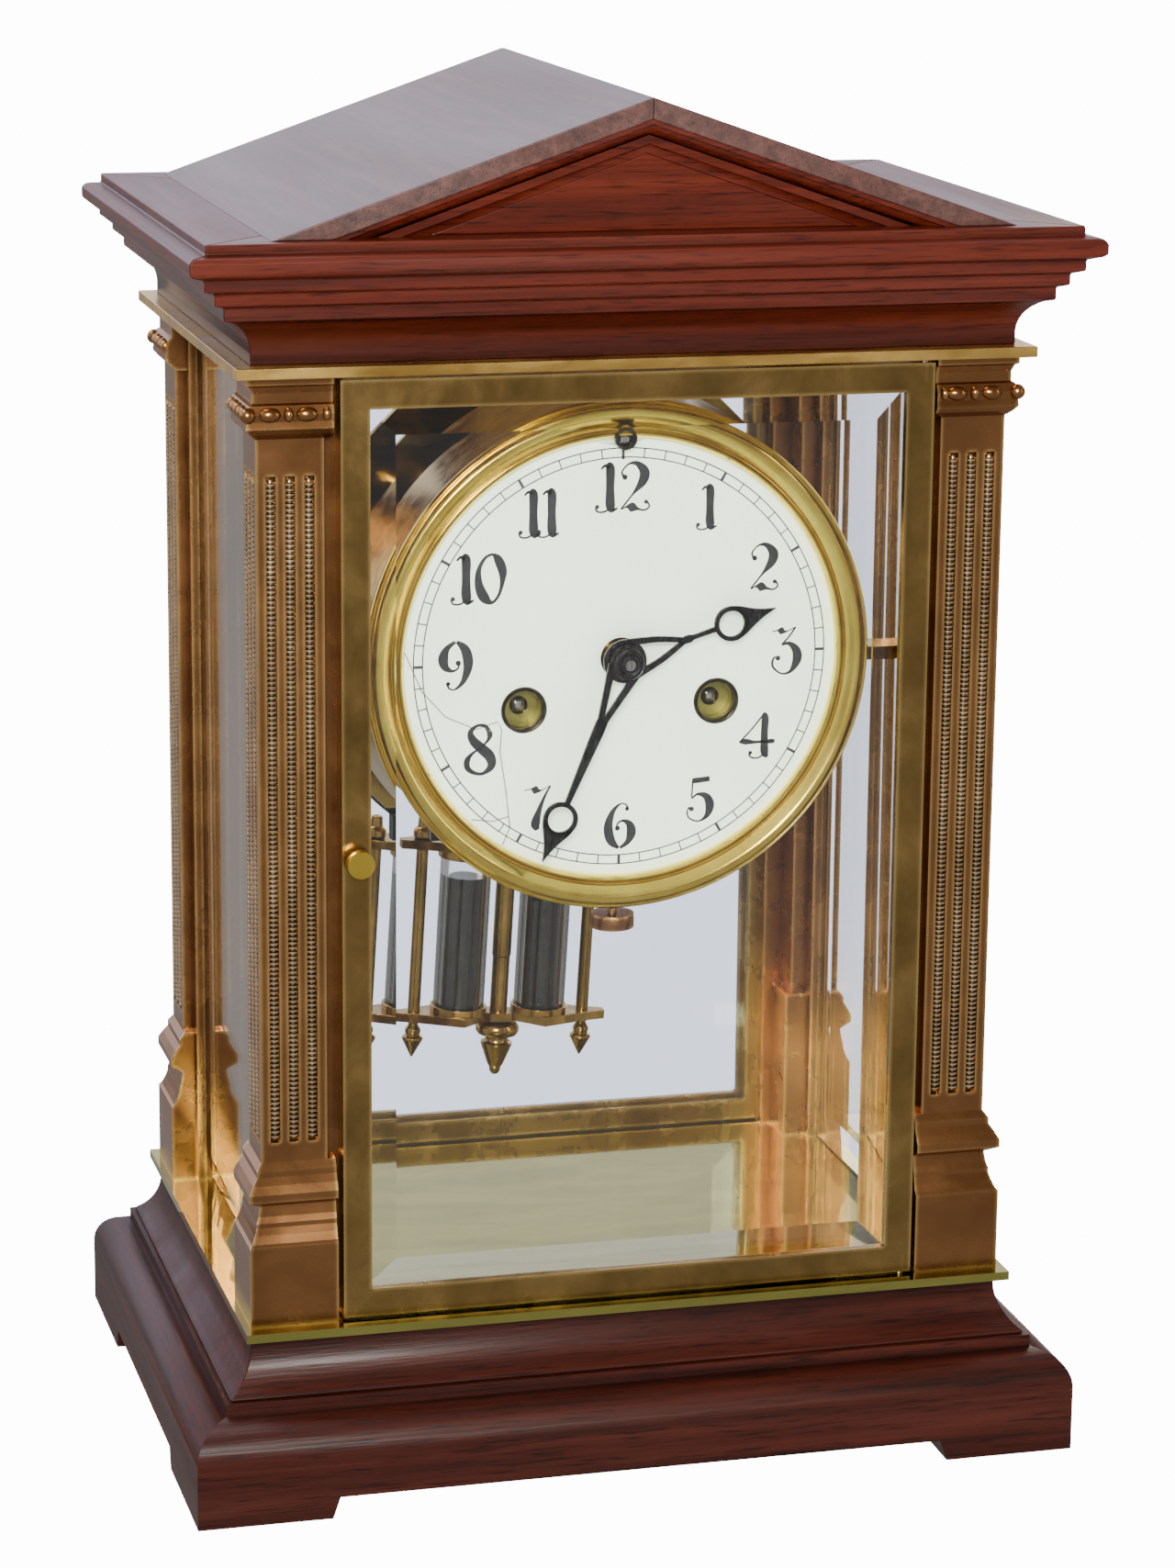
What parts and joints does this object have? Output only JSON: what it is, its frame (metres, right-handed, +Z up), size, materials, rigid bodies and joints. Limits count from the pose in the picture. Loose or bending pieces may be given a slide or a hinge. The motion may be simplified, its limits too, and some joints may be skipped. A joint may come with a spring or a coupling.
{
  "type": "mantel clock",
  "caption": "Four-glass mantel clock: dark wooden base and pediment, fluted brass posts, bevelled glass doors and sides, round enamel dial and a swinging mercury-vial pendulum.",
  "frame": {"origin": "on the ground, in the middle of the feet", "axes": "+X right seen from the dial side, +Y to the back, +Z up; the dial faces -Y"},
  "size_m": [0.204, 0.151, 0.3106],
  "materials": {
    "mahogany": "dark red-brown, glossy varnish",
    "case_brass": "aged bronze-brown",
    "movement_brass": "polished gilt",
    "dark_steel": "blued or darkened",
    "glass": "clear, polished",
    "porcelain": "ivory white enamel",
    "mercury": "liquid metal mirror"
  },
  "bodies": {
    "clock_case": {"base_board": "mahogany", "base_front_moulding": "mahogany", "base_left_moulding": "mahogany", "base_plate": "case_brass", "base_rear_moulding": "mahogany", "base_right_moulding": "mahogany", "bezel": "movement_brass", "case_screws": "dark_steel", "cornice_board": "mahogany", "cornice_front_moulding": "mahogany", "cornice_left_moulding": "mahogany", "cornice_rear_moulding": "mahogany", "cornice_right_moulding": "mahogany", "dial": "porcelain", "drum_clamp_screw": "movement_brass", "front_gable_panel": "mahogany", "front_plate": "movement_brass", "gong": "dark_steel", "left_glass": "glass", "movement_brackets": "movement_brass", "movement_drum": "movement_brass", "post_front_left": "case_brass", "post_front_right": "case_brass", "post_rear_left": "case_brass", "post_rear_right": "case_brass", "raking_mouldings": "mahogany", "rear_gable_panel": "mahogany", "rear_plate": "movement_brass", "right_glass": "glass", "roof_left_board": "mahogany", "roof_right_board": "mahogany", "suspension_cock": "movement_brass", "top_plate": "case_brass"},
    "front_door": {"front_door_frame": "case_brass", "front_door_glass": "glass", "front_hinge_pins": "case_brass"},
    "rear_door": {"rear_door_frame": "case_brass", "rear_door_glass": "glass", "rear_hinge_pins": "case_brass"},
    "front_latch": {"front_latch": "case_brass"},
    "rear_latch": {"rear_latch": "case_brass"},
    "minute_set": {"centre_arbor": "movement_brass", "minute_hand": "dark_steel", "hand_nut": "movement_brass"},
    "hour_set": {"hour_wheel": "movement_brass", "hour_hand": "dark_steel"},
    "minute_wheel": {"minute_wheel": "movement_brass"},
    "going_barrel": {"going_barrel": "movement_brass"},
    "strike_barrel": {"strike_barrel": "movement_brass"},
    "third_wheel": {"third_wheel": "movement_brass"},
    "escape_wheel": {"escape_wheel": "movement_brass"},
    "going_winder": {"going_winding_arbor": "dark_steel"},
    "strike_winder": {"strike_winding_arbor": "dark_steel"},
    "anchor": {"anchor": "dark_steel"},
    "hammer": {"hammer": "dark_steel"},
    "regulator": {"regulator_arbor": "dark_steel"},
    "pendulum": {"pendulum_frame": "movement_brass", "mercury_vials": "glass", "mercury_columns": "mercury"},
    "rating_nut": {"rating_nut": "movement_brass"}
  },
  "joints": [
    {"name": "front_door_hinge", "type": "hinge", "parent": "clock_case", "child": "front_door", "pos_m": [0.0643, -0.0598, 0.146], "axis": [0, 0, 1], "range_deg": [0, 100]},
    {"name": "rear_door_hinge", "type": "hinge", "parent": "clock_case", "child": "rear_door", "pos_m": [-0.0643, 0.0598, 0.146], "axis": [0, 0, 1], "range_deg": [0, 100]},
    {"name": "front_latch_turn", "type": "hinge", "parent": "front_door", "child": "front_latch", "pos_m": [-0.0629, -0.0588, 0.1466], "axis": [0, 1, 0], "range_deg": [0, 90]},
    {"name": "rear_latch_turn", "type": "hinge", "parent": "rear_door", "child": "rear_latch", "pos_m": [0.0629, 0.0588, 0.1466], "axis": [0, -1, 0], "range_deg": [0, 90]},
    {"name": "minute_hand_turn", "type": "hinge", "parent": "clock_case", "child": "minute_set", "pos_m": [0, 0, 0.18545], "axis": [0, 1, 0], "continuous": true},
    {"name": "hour_hand_turn", "type": "hinge", "parent": "clock_case", "child": "hour_set", "pos_m": [0, 0, 0.18545], "axis": [0, 1, 0], "continuous": true},
    {"name": "minute_wheel_turn", "type": "hinge", "parent": "clock_case", "child": "minute_wheel", "pos_m": [-0.01, 0, 0.18545], "axis": [0, 1, 0], "continuous": true},
    {"name": "going_barrel_turn", "type": "hinge", "parent": "clock_case", "child": "going_barrel", "pos_m": [0.0221, 0, 0.1747], "axis": [0, 1, 0], "continuous": true},
    {"name": "strike_barrel_turn", "type": "hinge", "parent": "clock_case", "child": "strike_barrel", "pos_m": [-0.0221, 0, 0.1747], "axis": [0, 1, 0], "continuous": true},
    {"name": "third_wheel_turn", "type": "hinge", "parent": "clock_case", "child": "third_wheel", "pos_m": [0, 0, 0.20345], "axis": [0, 1, 0], "continuous": true},
    {"name": "escape_wheel_turn", "type": "hinge", "parent": "clock_case", "child": "escape_wheel", "pos_m": [0, 0, 0.21495], "axis": [0, 1, 0], "continuous": true},
    {"name": "going_winding", "type": "hinge", "parent": "clock_case", "child": "going_winder", "pos_m": [0.0221, 0, 0.1747], "axis": [0, 1, 0], "continuous": true},
    {"name": "strike_winding", "type": "hinge", "parent": "clock_case", "child": "strike_winder", "pos_m": [-0.0221, 0, 0.1747], "axis": [0, 1, 0], "continuous": true},
    {"name": "anchor_rock", "type": "hinge", "parent": "clock_case", "child": "anchor", "pos_m": [0, 0, 0.22625], "axis": [0, 1, 0], "range_deg": [-7.6, 1.6]},
    {"name": "hammer_lift", "type": "hinge", "parent": "clock_case", "child": "hammer", "pos_m": [-0.026, 0, 0.15545], "axis": [0, 1, 0], "range_deg": [0, 14]},
    {"name": "regulator_turn", "type": "hinge", "parent": "clock_case", "child": "regulator", "pos_m": [0, 0, 0.23495], "axis": [0, 1, 0], "continuous": true},
    {"name": "pendulum_swing", "type": "hinge", "parent": "clock_case", "child": "pendulum", "pos_m": [0, 0.036, 0.22625], "axis": [0, 1, 0], "range_deg": [-7.5, 1.3]},
    {"name": "rating_nut_turn", "type": "hinge", "parent": "pendulum", "child": "rating_nut", "pos_m": [-0.0085, 0.036, 0.06923], "axis": [0.0541, 0, 0.9985], "continuous": true}
  ],
  "couplings": [
    {"joint": "hour_hand_turn", "follows": "minute_hand_turn", "ratio": 0.083333},
    {"joint": "minute_wheel_turn", "follows": "minute_hand_turn", "ratio": -0.33333},
    {"joint": "going_barrel_turn", "follows": "minute_hand_turn", "ratio": -0.083333},
    {"joint": "third_wheel_turn", "follows": "minute_hand_turn", "ratio": -11},
    {"joint": "escape_wheel_turn", "follows": "minute_hand_turn", "ratio": 82.5},
    {"joint": "anchor_rock", "follows": "pendulum_swing", "ratio": 1}
  ]
}
